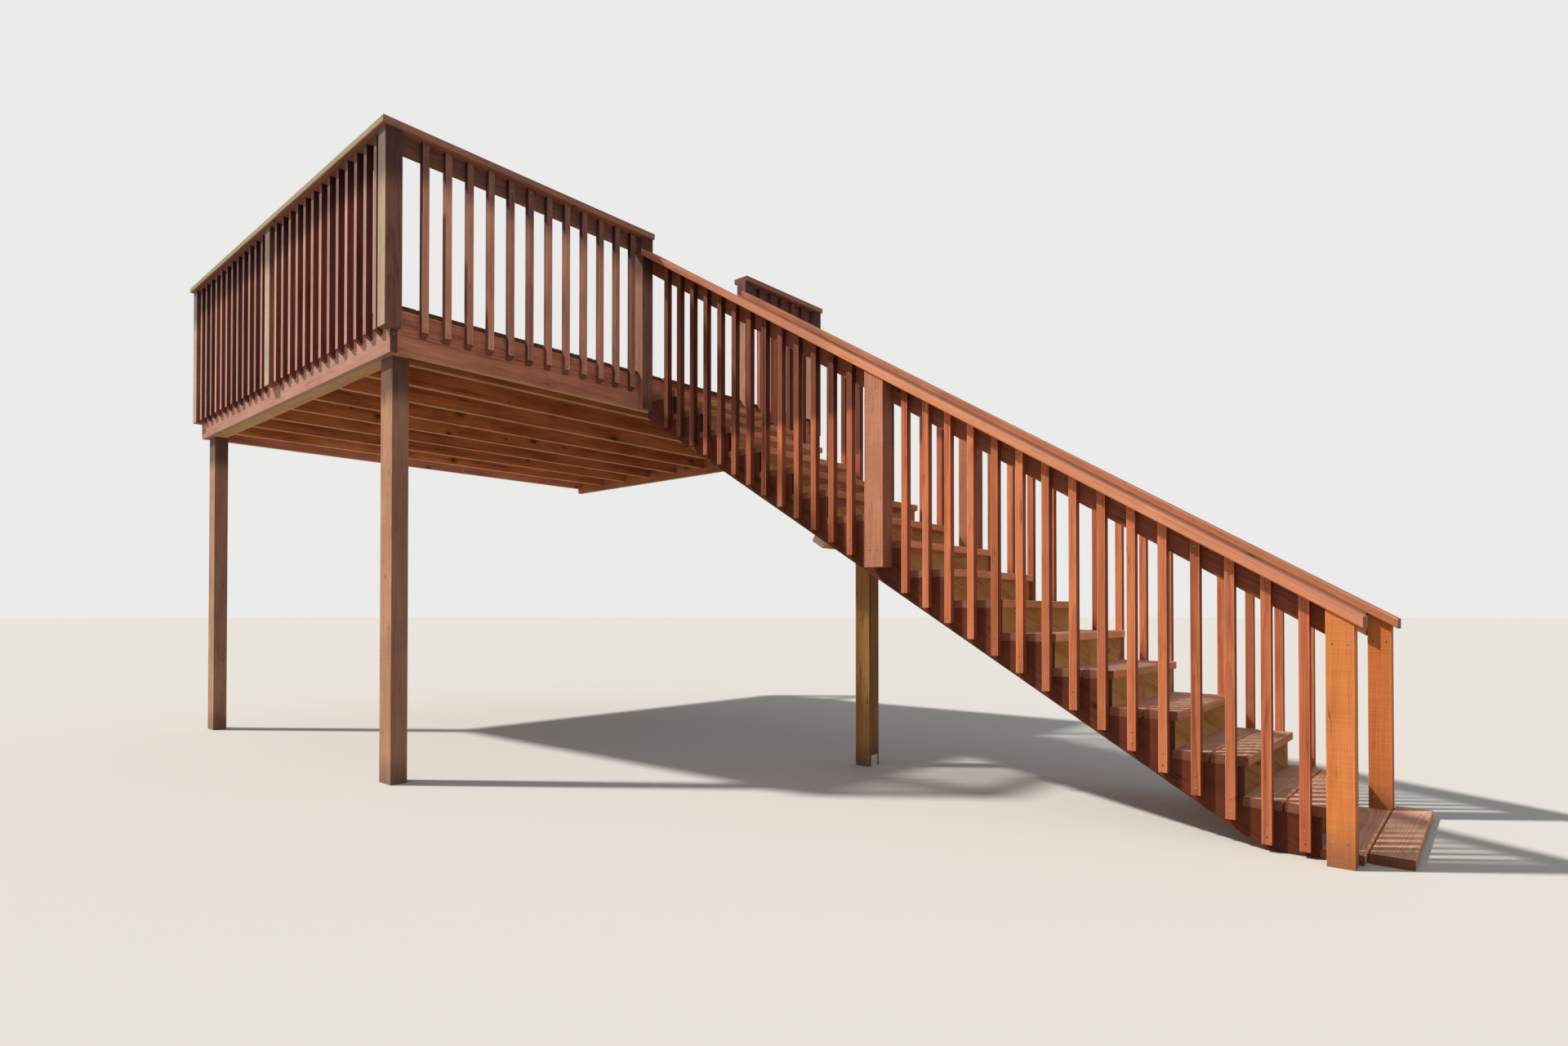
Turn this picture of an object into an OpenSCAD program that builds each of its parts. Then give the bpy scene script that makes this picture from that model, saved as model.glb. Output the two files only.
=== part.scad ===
// A raised timber deck with one long straight flight of open stairs down its right-hand side.
// The deck hangs on a ledger against the house wall, stands on two posts at its front edge, and
// has railings of square balusters. Three saw-tooth stringers carry the treads to the ground.
// The origin is the middle of the ledger's back face. +X runs down the flight, +Y into the wall.

/* [Deck frame] */
// Length of the deck along the wall, over both rims
deck_l = 3442; // [2700:1:4400]
// Depth of the deck from the wall to the front of the fascia
deck_d = 3581; // [2950:1:4400]
// Thickness of the sawn boards: joists, rims, beam, ledger and stringers
board_t = 38; // [30:1:48]
// Height of the joists, rims and beam
joist_h = 235; // [190:1:286]
// Distance between joist centres
joist_pitch = 406; // [300:1:610]
// Height of the ledger
ledger_h = 286; // [240:1:340]
// Width of a deck post along the front
deck_post_w = 140; // [100:1:180]
// Depth of a deck post, and width of a rail post
post_w = 89; // [70:1:110]
// How far the deck posts stand in from the rims' outer faces
post_inset = 60; // [20:1:120]

/* [Decking] */
// Width of a deck board
deck_board_w = 140; // [90:1:180]
// Thickness of a deck board
deck_board_t = 25; // [20:1:38]
// Smallest gap between deck boards
deck_gap = 3; // [2:0.5:8]
// Radius of the eased top edges of the deck boards
deck_round = 5; // [2:0.5:8]
// Clearance of the decking round a post that passes through it
post_clearance = 2; // [1:0.5:6]

/* [Flight] */
// Number of risers from the bottom tread's top to the deck
risers = 16; // [12:1:20]
// Height of one riser
riser_h = 158.75; // [125:0.25:200]
// Going of one tread, nose to nose
going = 264; // [215:1:330]
// Distance from the wall to the far side of the flight
flight_back = 927; // [600:1:1150]
// Width of the flight over its outer stringers
flight_w = 914; // [740:1:1150]
// Thickness of the treads
tread_t = 38; // [30:1:48]
// Overhang of a nose past the riser line
nosing = 22; // [10:1:40]
// Gap between the two boards of a tread
tread_gap = 7; // [3:1:15]
// Radius of the eased edges of the treads and caps
edge_round = 6; // [3:0.5:10]
// Full width of the board that a stringer is cut from
stringer_w = 230; // [190:1:300]
// How far the bottom step's front board starts inside the near stringer
step_near_set = 50; // [0:1:100]
// How far the bottom step's front board runs past the far stringer
step_far_run = 124; // [90:1:200]

/* [Stair prop] */
// Distance from the deck to the middle of the prop
prop_at = 1532; // [1200:1:2000]
// Width of the square prop
prop_w = 100; // [80:1:130]
// Width of the flat cleat across the stringers
cleat_w = 89; // [70:1:120]
// Thickness of the steel of the prop's shoe
shoe_t = 3; // [2:0.5:6]
// Height of the shoe's cheeks
shoe_h = 67; // [40:1:120]
// Width of the shoe's cheeks
shoe_w = 64; // [40:1:80]

/* [Railing] */
// Height of the level caps above the deck
rail_h = 955; // [800:1:1150]
// Height of the raked cap above the nosing line at the deck
rake_h_top = 846; // [700:1:1000]
// Height of the raked cap above the nosing line at the newel
rake_h_foot = 797; // [650:1:950]
// Width of the caps
cap_w = 140; // [110:1:184]
// Thickness of the caps
cap_t = 38; // [25:1:48]
// Distance from the deck's face to the outer edge of the level caps
cap_out = 70; // [55:1:90]
// Height of the sub-rail boards on edge under the caps
sub_rail_h = 89; // [60:1:120]
// How far the rail posts lap down the deck's face from the joist tops
post_lap = 110; // [60:1:160]
// How far the level balusters lap down the deck's face from the joist tops
baluster_lap = 127; // [60:1:180]
// Height of the bevel across the feet of the level balusters
foot_bevel = 26; // [5:1:36]
// Side of the square balusters
baluster_w = 36; // [28:1:44]
// Distance between baluster centres
baluster_pitch = 128; // [100:1:150]
// Offset of the front rail's middle post from the deck's middle
front_post_off = -43; // [-300:1:300]
// Distance from the deck to the flight's middle post
mid_post_at = 1908; // [1500:1:2300]
// Width of the flight's middle post along the flight
mid_post_w = 117; // [89:1:140]
// Height of the middle post's foot above the stringer's lower edge
mid_post_lift = 80; // [20:1:120]
// How far the near newel stands uphill of the far one
newel_step = 25; // [0:1:60]
// How far a raked cap runs past its newel
cap_end = 28; // [10:1:60]
// Height of the raked balusters' feet above the stringer's lower edge
baluster_lift = 25; // [10:1:60]

/* [Hidden] */
$fn = 32;
eps = 1;

rim_x = deck_l / 2;
front_y = -deck_d;
joist_top = ledger_h / 2;
joist_bottom = joist_top - joist_h;
deck_top = joist_top + deck_board_t;
ground_z = deck_top - risers * riser_h - tread_t;

// The flight lies between these two planes, the outer faces of its stringers.
near_y = -flight_back - flight_w;
far_y = -flight_back;
middle_y = (near_y + far_y) / 2;
flight_run = risers * going;
slope = riser_h / going;
tread_d = going + nosing;
tread_board_w = (tread_d - tread_gap) / 2;
pitch_angle = atan(slope);

// Heights on the flight at a distance u from the deck's face.
function seat_z(step) = deck_top - step * riser_h - tread_t;
function under_z(u) = seat_z(0) - stringer_w / cos(pitch_angle) - slope * u;
function edge_z(u) = max(under_z(u), ground_z);
function nosing_z(u) = deck_top - slope * (u - nosing);

// The beam is two boards thick, behind the fascia. The joists fill the frame behind it.
beam_back_y = front_y + 3 * board_t;
joist_count = floor((deck_l - 3 * board_t) / joist_pitch);

// The decking's boards are spread evenly, with gaps no smaller than deck_gap.
deck_board_count = floor((deck_d + deck_gap) / (deck_board_w + deck_gap));
deck_board_step = (deck_d - deck_board_w) / (deck_board_count - 1);

// Level railing: the caps' tops and undersides, and how the posts straddle the frame's face.
post_in = board_t + post_clearance;
post_out = post_w - post_in;
cap_top = deck_top + rail_h;
cap_under = cap_top - cap_t;
left_mid_y = (front_y - post_w) / 2;

// Raked railing, in distances from the deck's face. The far newel stands against the back edge
// of the bottom step's front board.
newel_far_u = flight_run + nosing - tread_board_w - post_w;
newel_near_u = newel_far_u - newel_step;
cap_foot_u = newel_near_u + post_w + cap_end;
rake_top_z = nosing_z(post_out) + rake_h_top;
rake_foot_z = nosing_z(cap_foot_u) + rake_h_foot;
rake_slope = (rake_top_z - rake_foot_z) / (cap_foot_u - post_out);
rake_angle = atan(rake_slope);
function rake_z(u) = rake_top_z - rake_slope * (u - post_out);
function rake_under_z(u) = rake_z(u) - cap_t / cos(rake_angle);

// First baluster's distance from the face of the post it follows, bay by bay.
front_first = 55;
side_first = 115;
short_first = 92;
left_first = 60;
rake_upper_first = 164;
rake_lower_first = 81;

stain_light = [0.80, 0.45, 0.31];
stain_red = [0.55, 0.27, 0.20];
stain_dark = [0.42, 0.22, 0.18];
stain_pale = [0.78, 0.60, 0.50];
joist_brown = [0.50, 0.25, 0.13];
tread_worn = [0.48, 0.36, 0.34];
raw_pine = [0.62, 0.45, 0.24];

// The treads' names count up from the ground: tread_01, tread_02 and so on.
function tread_name(number) = str("tread_", number < 10 ? "0" : "", number);

// A box between two opposite corners.
module box(low, high) {
    translate(low) cube(high - low);
}

// A rectangle with its lower left corner at the origin and round corners.
module eased_rectangle(width, height, radius) {
    translate([radius, 0]) square([width - 2 * radius, height]);
    translate([0, radius]) square([width, height - 2 * radius]);
    for (x = [radius, width - radius], y = [radius, height - radius])
        translate([x, y]) circle(r = radius);
}

// The same with only its upper two corners round.
module eased_top(width, height, radius) {
    square([width, height - radius]);
    translate([radius, 0]) square([width - 2 * radius, height]);
    for (x = [radius, width - radius])
        translate([x, height - radius]) circle(r = radius);
}

// An outline drawn in X and Z, as thick as t, with its near face at y.
module upright(y, t) {
    translate([0, y + t, 0]) rotate([90, 0, 0]) linear_extrude(t) children();
}

// A board along Y with eased edges, its section drawn in X and Z.
module board_along_y(x, z, y0, y1, width, thickness) {
    translate([x, 0, z]) upright(y0, y1 - y0) eased_rectangle(width, thickness, edge_round);
}

// Mirrors the near side of the flight onto its far side.
module far_side() {
    translate([0, near_y + far_y, 0]) mirror([0, 1, 0]) children();
}

// Deck frame

module front_fascia() {
    color(stain_pale) box([-rim_x, front_y, joist_bottom], [rim_x, front_y + board_t, joist_top]);
}

module front_beam() {
    inner_x = rim_x - board_t;
    color(joist_brown)
        for (y = [front_y + board_t, front_y + 2 * board_t])
            box([-inner_x, y, joist_bottom], [inner_x, y + board_t, joist_top]);
}

module side_rims() {
    color(stain_red)
        for (x = [-rim_x, rim_x - board_t])
            box([x, front_y + board_t, joist_bottom], [x + board_t, -board_t, joist_top]);
}

module joists() {
    color(joist_brown)
        for (i = [1 : joist_count])
            translate([-rim_x + i * joist_pitch, 0, 0])
                box([0, beam_back_y, joist_bottom], [board_t, -board_t, joist_top]);
}

module ledger() {
    color(joist_brown) box([-rim_x, -board_t, -ledger_h / 2], [rim_x, 0, ledger_h / 2]);
}

// The deck posts stand under the beam near its two ends.
module deck_posts() {
    low_y = front_y + board_t;
    color(stain_light)
        for (x = [-rim_x + post_inset, rim_x - post_inset - deck_post_w])
            box([x, low_y, ground_z], [x + deck_post_w, low_y + post_w, joist_bottom]);
}

// The footprint of every rail post that passes through the decking, grown by a clearance.
module post_footprints(grow) {
    for (side = [-1, 1], y = [front_y - post_out, -post_w])
        translate([side * rim_x, y])
            footprint(side, grow);
    translate([rim_x, near_y - post_w]) footprint(1, grow);
    translate([rim_x, far_y]) footprint(1, grow);
    translate([-rim_x, left_mid_y]) footprint(-1, grow);
    translate([front_post_off - post_w / 2, front_y - post_out]) square_grown(post_w, grow);
}

module square_grown(size, grow) {
    translate([-grow, -grow]) square(size + 2 * grow);
}

// The plan of a post that straddles the rim on one side of the deck.
module footprint(side, grow) {
    translate([side > 0 ? -post_in : -post_out, 0]) square_grown(post_w, grow);
}

module decking() {
    color(tread_worn)
        difference() {
            union() {
                for (i = [0 : deck_board_count - 1])
                    deck_board(front_y + i * deck_board_step);
            }
            translate([0, 0, joist_top - eps])
                linear_extrude(deck_board_t + 2 * eps) post_footprints(post_clearance);
        }
}

// One deck board. In the stair opening its end runs out past the rim as a nose.
module deck_board(y) {
    in_opening = y > near_y + post_clearance && y + deck_board_w < far_y - post_clearance;
    length = deck_l + (in_opening ? nosing : 0);
    translate([-rim_x, y, joist_top])
        rotate([90, 0, 90])
            linear_extrude(length) eased_top(deck_board_w, deck_board_t, deck_round);
}

// Flight

// The outline of a stringer: square steps above, a straight edge below and a level foot.
module stringer_outline() {
    foot_u = (under_z(0) - ground_z) / slope;
    steps = risers - 1;
    teeth = [for (i = [1 : steps], end = [0, 1]) [rim_x + (i - 1 + end) * going, seat_z(i)]];
    polygon(concat(
        [[rim_x, under_z(0)]],
        teeth,
        [[rim_x + steps * going, ground_z], [rim_x + foot_u, ground_z]]
    ));
}

module stringer_near() {
    color(stain_dark) upright(near_y, board_t) stringer_outline();
}

module stringer_middle() {
    color(raw_pine) upright(middle_y - board_t / 2, board_t) stringer_outline();
}

module stringer_far() {
    color(raw_pine) upright(far_y - board_t, board_t) stringer_outline();
}

// Tread number 1 is the bottom step, which lies on the ground in front of the stringers.
module tread(number) {
    step = risers + 1 - number;
    nose_x = rim_x + step * going + nosing;
    z = seat_z(step);
    bottom = number == 1;
    color(tread_worn) {
        board_along_y(nose_x - tread_d, z, near_y, far_y, tread_board_w, tread_t);
        board_along_y(nose_x - tread_board_w, z,
            near_y + (bottom ? step_near_set : 0), far_y + (bottom ? step_far_run : 0),
            tread_board_w, tread_t);
    }
}

// The flat board nailed across the stringers' lower edges, on top of the prop.
module stair_cleat() {
    color(raw_pine)
        translate([rim_x + prop_at, 0, under_z(prop_at)])
            rotate([0, pitch_angle, 0])
                box([-cleat_w / 2, near_y, -board_t], [cleat_w / 2, far_y, 0]);
}

module stair_prop() {
    low_u = prop_at + prop_w / 2;
    high_u = prop_at - prop_w / 2;
    drop = board_t / cos(pitch_angle);
    color(raw_pine)
        upright(middle_y - prop_w / 2, prop_w)
            polygon([
                [rim_x + high_u, ground_z + shoe_t],
                [rim_x + low_u, ground_z + shoe_t],
                [rim_x + low_u, under_z(low_u) - drop],
                [rim_x + high_u, under_z(high_u) - drop]
            ]);
}

// A bent steel shoe: a sole under the prop and a cheek on each side of it.
module prop_shoe() {
    color("silver")
        upright(middle_y - shoe_w / 2, shoe_w)
            translate([rim_x + prop_at, ground_z])
                difference() {
                    translate([-prop_w / 2 - shoe_t, 0]) square([prop_w + 2 * shoe_t, shoe_h]);
                    translate([-prop_w / 2, shoe_t]) square([prop_w, shoe_h]);
                }
}

// Railing posts

// A square rail post with its low corner at the origin, from z0 up to z1.
module post(x, y, z0, z1) {
    box([x, y, z0], [x + post_w, y + post_w, z1]);
}

// A post on the front fascia, notched to sit on the frame and lap down its face.
module front_post(x) {
    difference() {
        post(x, front_y - post_out, joist_top - post_lap, cap_under);
        deck_body(joist_top);
    }
}

// A post on the rim at one side of the deck, with its foot at foot_z.
module side_post(side, y, foot_z) {
    difference() {
        post(side > 0 ? rim_x - post_in : -rim_x - post_out, y, foot_z, cap_under);
        deck_body(joist_top);
    }
}

// The block that the deck's frame fills, up to a height.
module deck_body(top_z) {
    box([-rim_x, front_y, ground_z], [rim_x, eps, top_z]);
}

module rail_posts() {
    foot_z = joist_top - post_lap;
    color(stain_red) {
        front_post(front_post_off - post_w / 2);
        for (side = [-1, 1], y = [front_y - post_out, -post_w])
            side_post(side, y, foot_z);
        side_post(-1, left_mid_y, foot_z);
        side_post(1, near_y - post_w, joist_bottom);
        side_post(1, far_y, joist_bottom);
    }
}

// A post beside the near stringer whose top is cut to the underside of the raked cap.
module raked_post(u, width, foot_z) {
    upright(near_y - post_w, post_w)
        polygon([
            [rim_x + u, foot_z],
            [rim_x + u + width, foot_z],
            [rim_x + u + width, rake_under_z(u + width)],
            [rim_x + u, rake_under_z(u)]
        ]);
}

module flight_mid_post() {
    raked_post(mid_post_at, mid_post_w, under_z(mid_post_at + mid_post_w / 2) + mid_post_lift);
}

module flight_posts() {
    color(stain_light) {
        flight_mid_post();
        far_side() flight_mid_post();
    }
}

module newels() {
    color(stain_light) {
        raked_post(newel_near_u, post_w, ground_z);
        far_side() raked_post(newel_far_u, post_w, ground_z);
    }
}

// Caps and sub-rails

// A plan outline that keeps one side of a mitred corner of the level caps.
module mitre_plan(points) {
    translate([0, 0, cap_under - eps]) linear_extrude(cap_t + 2 * eps) polygon(points);
}

module cap_front() {
    out_x = rim_x + cap_out;
    out_y = front_y - cap_out;
    color(stain_red)
        intersection() {
            translate([-out_x, out_y, cap_under])
                rotate([90, 0, 90]) linear_extrude(2 * out_x) eased_rectangle(cap_w, cap_t, edge_round);
            mitre_plan([
                [-out_x, out_y], [out_x, out_y],
                [out_x - cap_w, out_y + cap_w], [-out_x + cap_w, out_y + cap_w]
            ]);
        }
}

// A level cap along one side of the deck, mitred at the front when it starts there.
module side_cap(side, y0, y1) {
    x = side > 0 ? rim_x + cap_out - cap_w : -rim_x - cap_out;
    board_along_y(x, cap_under, y0, y1, cap_w, cap_t);
}

module caps_side() {
    out_x = rim_x + cap_out;
    out_y = front_y - cap_out;
    color(stain_red) {
        for (side = [-1, 1])
            intersection() {
                side_cap(side, out_y, side > 0 ? near_y : 0);
                mitre_plan([
                    [side * out_x, out_y], [side * (out_x - cap_w), out_y + cap_w],
                    [side * (out_x - cap_w), 0], [side * out_x, 0]
                ]);
            }
        side_cap(1, far_y, 0);
    }
}

// The raked cap over the near stringer, cut plumb at both ends.
module raked_cap(end_u) {
    run = end_u - post_out;
    intersection() {
        translate([rim_x + post_out, near_y + board_t - cap_w, rake_z(post_out)])
            rotate([90, 0, 90])
                rake_section(run / cos(rake_angle) + 2 * cap_w);
        box([rim_x + post_out, near_y - 2 * cap_w, rake_z(end_u) - 2 * cap_w],
            [rim_x + end_u, near_y + cap_w, cap_top]);
    }
}

// The cap's section, swept down the rake and started uphill of its own end cut.
module rake_section(length) {
    rotate([rake_angle, 0, 0])
        translate([0, -cap_t, -cap_w])
            linear_extrude(length) eased_rectangle(cap_w, cap_t, edge_round);
}

module caps_flight() {
    color(stain_light) {
        raked_cap(cap_foot_u);
        far_side() raked_cap(cap_foot_u + newel_step);
    }
}

// A level board on edge under a cap, between two corners in plan.
module sub_rail(low, high) {
    box([low[0], low[1], cap_under - sub_rail_h], [high[0], high[1], cap_under]);
}

module sub_rails_front() {
    inner_x = rim_x - post_in;
    color(stain_red) {
        sub_rail([-inner_x, front_y], [front_post_off - post_w / 2, front_y + board_t]);
        sub_rail([front_post_off + post_w / 2, front_y], [inner_x, front_y + board_t]);
    }
}

module sub_rails_side() {
    color(stain_red) {
        sub_rail([rim_x - board_t, front_y + post_in], [rim_x, near_y - post_w]);
        sub_rail([rim_x - board_t, far_y + post_w], [rim_x, -post_w]);
        sub_rail([-rim_x, front_y + post_in], [-rim_x + board_t, left_mid_y]);
        sub_rail([-rim_x, left_mid_y + post_w], [-rim_x + board_t, -post_w]);
    }
}

// The board on edge under the near raked cap, over the stringer, as far as its newel.
module raked_sub_rail(end_u) {
    drop = sub_rail_h / cos(rake_angle);
    upright(near_y, board_t)
        polygon([
            [rim_x, rake_under_z(0) - drop],
            [rim_x + end_u, rake_under_z(end_u) - drop],
            [rim_x + end_u, rake_under_z(end_u)],
            [rim_x, rake_under_z(0)]
        ]);
}

module sub_rails_flight() {
    color(stain_dark) {
        raked_sub_rail(newel_near_u);
        far_side() raked_sub_rail(newel_far_u);
    }
}

// Balusters

// Where the balusters of a bay stand, as distances from the start of the bay.
function baluster_places(clear, first) =
    [for (i = [0 : floor((clear - first - baluster_w) / baluster_pitch)]) first + i * baluster_pitch];

// One level baluster with its back against a face at y = 0, and a bevel across its foot.
module baluster() {
    foot_z = joist_top - baluster_lap;
    rotate([90, 0, 90])
        linear_extrude(baluster_w)
            polygon([
                [0, foot_z], [0, cap_under], [-baluster_w, cap_under], [-baluster_w, foot_z + foot_bevel]
            ]);
}

// The same on the right-hand or left-hand side of the deck, with its low side at y.
module side_baluster(side, y) {
    translate([side * rim_x, side > 0 ? y : y + baluster_w, 0]) rotate([0, 0, side * 90]) baluster();
}

module balusters_front() {
    inner_x = rim_x - post_in;
    left_end = front_post_off - post_w / 2;
    right_end = front_post_off + post_w / 2;
    color(stain_light) {
        for (u = baluster_places(left_end + inner_x, front_first))
            translate([-inner_x + u, front_y, 0]) baluster();
        for (u = baluster_places(inner_x - right_end, front_first))
            translate([right_end + u, front_y, 0]) baluster();
    }
}

module balusters_right() {
    y0 = front_y + post_in;
    color(stain_light)
        for (u = baluster_places(near_y - post_w - y0, side_first))
            side_baluster(1, y0 + u);
}

module balusters_short() {
    y0 = far_y + post_w;
    color(stain_light)
        for (u = baluster_places(-post_w - y0, short_first))
            side_baluster(1, y0 + u);
}

module balusters_left() {
    y0 = front_y + post_in;
    y1 = left_mid_y + post_w;
    color(stain_light) {
        for (u = baluster_places(left_mid_y - y0, left_first))
            side_baluster(-1, y0 + u);
        for (u = baluster_places(-post_w - y1, left_first))
            side_baluster(-1, y1 + u);
    }
}

// A plumb baluster on the near stringer: square foot, top cut to the cap's underside.
module raked_baluster(u) {
    foot_z = edge_z(u) + baluster_lift;
    upright(near_y - baluster_w, baluster_w)
        polygon([
            [rim_x + u, foot_z],
            [rim_x + u + baluster_w, foot_z],
            [rim_x + u + baluster_w, rake_under_z(u + baluster_w)],
            [rim_x + u, rake_under_z(u)]
        ]);
}

module raked_balusters(newel_u) {
    lower = mid_post_at + mid_post_w;
    for (u = baluster_places(mid_post_at - post_out, rake_upper_first))
        raked_baluster(post_out + u);
    for (u = baluster_places(newel_u - lower, rake_lower_first))
        raked_baluster(lower + u);
}

module balusters_near() {
    color(stain_light) raked_balusters(newel_near_u);
}

module balusters_far() {
    color(stain_light) far_side() raked_balusters(newel_far_u);
}

front_fascia();
front_beam();
side_rims();
joists();
ledger();
decking();
deck_posts();
stringer_near();
stringer_middle();
stringer_far();
for (number = [1 : risers])
    tread(number);
stair_cleat();
stair_prop();
prop_shoe();
rail_posts();
flight_posts();
newels();
cap_front();
caps_side();
caps_flight();
sub_rails_front();
sub_rails_side();
sub_rails_flight();
balusters_front();
balusters_left();
balusters_right();
balusters_short();
balusters_near();
balusters_far();
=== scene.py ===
# %% [markdown]
# # Timber deck stairs
# A raised deck is carried by a ledger board along its back and by two posts in front, and a long
# straight flight of open stairs runs down from its side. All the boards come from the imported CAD
# model. This notebook gives them their wood, adds the nail heads and bolts, and sets up a plain
# studio around them.

# %% Load the frame
import math
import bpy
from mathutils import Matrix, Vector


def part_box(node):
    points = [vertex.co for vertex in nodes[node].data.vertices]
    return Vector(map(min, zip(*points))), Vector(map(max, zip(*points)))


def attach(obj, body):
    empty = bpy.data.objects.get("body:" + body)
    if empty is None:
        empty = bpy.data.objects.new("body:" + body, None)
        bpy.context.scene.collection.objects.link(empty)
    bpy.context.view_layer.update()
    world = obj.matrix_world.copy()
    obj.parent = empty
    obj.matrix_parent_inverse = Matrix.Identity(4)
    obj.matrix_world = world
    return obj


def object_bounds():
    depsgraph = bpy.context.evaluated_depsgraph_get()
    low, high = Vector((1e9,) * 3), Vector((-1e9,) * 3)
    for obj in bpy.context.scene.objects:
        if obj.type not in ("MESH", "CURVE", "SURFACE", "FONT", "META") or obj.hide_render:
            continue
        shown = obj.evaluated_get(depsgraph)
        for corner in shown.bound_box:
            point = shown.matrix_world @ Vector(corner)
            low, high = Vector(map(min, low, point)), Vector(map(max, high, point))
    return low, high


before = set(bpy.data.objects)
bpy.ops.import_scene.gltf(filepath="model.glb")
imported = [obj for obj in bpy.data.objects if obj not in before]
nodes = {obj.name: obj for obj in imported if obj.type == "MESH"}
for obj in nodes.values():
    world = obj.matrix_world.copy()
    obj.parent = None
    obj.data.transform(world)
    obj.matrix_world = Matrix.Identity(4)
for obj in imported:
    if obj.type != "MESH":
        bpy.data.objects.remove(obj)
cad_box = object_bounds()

from types import SimpleNamespace

import bpy
import numpy as np
from mathutils import Matrix, Vector

GROUND = cad_box[0][2]
print("loaded", len(nodes), "nodes; the ground is at", round(GROUND, 3))

# %% [markdown]
# ## Measuring the boards
# One CAD node often holds many boards: a whole row of balusters, or all the joists. Real boards
# differ from each other in tint, grain and knots, so every material has to know which board a
# point is in. The boards are found by joining triangles that share a corner. Nothing is changed
# in the mesh: it is only measured.

# %% The boards of a node
SAME_CORNER = 4  # decimals of a metre, so corners within about 0.1 mm are one


def node_arrays(node):
    """The corner points and the triangles of a node's mesh, as two arrays."""
    mesh = nodes[node].data
    mesh.calc_loop_triangles()
    points = np.empty(len(mesh.vertices) * 3)
    mesh.vertices.foreach_get("co", points)
    triangles = np.empty(len(mesh.loop_triangles) * 3, np.int32)
    mesh.loop_triangles.foreach_get("vertices", triangles)
    return points.reshape(-1, 3), triangles.reshape(-1, 3)


def rake(points, angle):
    """Points turned about Y, so that a line that falls along +X at this angle becomes level:
    along = x cos - z sin, and up = x sin + z cos."""
    x, y, z = points.T
    cos, sin = math.cos(angle), math.sin(angle)
    return np.stack([x * cos - z * sin, y, x * sin + z * cos], axis=1)


def board_boxes(names, angle=0.0):
    """The lowest and highest corner of every separate board in some nodes. Each point starts with
    a label of its own, and takes the lowest label in its triangles until nothing changes."""
    found = []
    for name in names:
        points, triangles = node_arrays(name)
        points = rake(points, angle)
        _, weld = np.unique(np.round(points, SAME_CORNER), axis=0, return_inverse=True)
        weld = weld.ravel()
        corners = weld[triangles]
        label = np.arange(weld.max() + 1)
        while True:
            lower = label.copy()
            np.minimum.at(lower, corners.ravel(), np.repeat(label[corners].min(axis=1), 3))
            lower = lower[lower]
            if np.array_equal(lower, label):
                break
            label = lower
        of_point = label[weld]
        for one in np.unique(of_point):
            board = points[of_point == one]
            found.append([board.min(axis=0), board.max(axis=0)])
    return np.array(found)


def middles(boxes):
    """The middle of every board."""
    return boxes.mean(axis=1)


for name in ("balusters_front", "joists", "decking"):
    print(name, "has", len(board_boxes([name])), "boards")

# %% [markdown]
# ## Shader maths
# A wood pattern is mostly arithmetic: distances from the heart of the tree, fractions of a ring,
# masks for knots. Wiring dozens of Math nodes by hand is hard to read, so a small class wraps a
# socket, and `a * b + 1` on two of them adds the nodes. Everything else goes through one method.

# %% Sockets that can be added and multiplied
class Value:
    """One output socket. Arithmetic on it adds a Math node to the same material."""

    def __init__(self, graph, socket):
        self.graph, self.socket = graph, socket

    def maths(self, operation, *others):
        return self.graph.math(operation, self, *others)

    def __add__(self, other): return self.maths("ADD", other)
    def __radd__(self, other): return self.maths("ADD", other)
    def __sub__(self, other): return self.maths("SUBTRACT", other)
    def __rsub__(self, other): return self.graph.math("SUBTRACT", other, self)
    def __mul__(self, other): return self.maths("MULTIPLY", other)
    def __rmul__(self, other): return self.maths("MULTIPLY", other)
    def __truediv__(self, other): return self.maths("DIVIDE", other)
    def __rtruediv__(self, other): return self.graph.math("DIVIDE", other, self)
    def __gt__(self, other): return self.maths("GREATER_THAN", other)
    def __lt__(self, other): return self.maths("LESS_THAN", other)
    def __abs__(self): return self.maths("ABSOLUTE")


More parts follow.
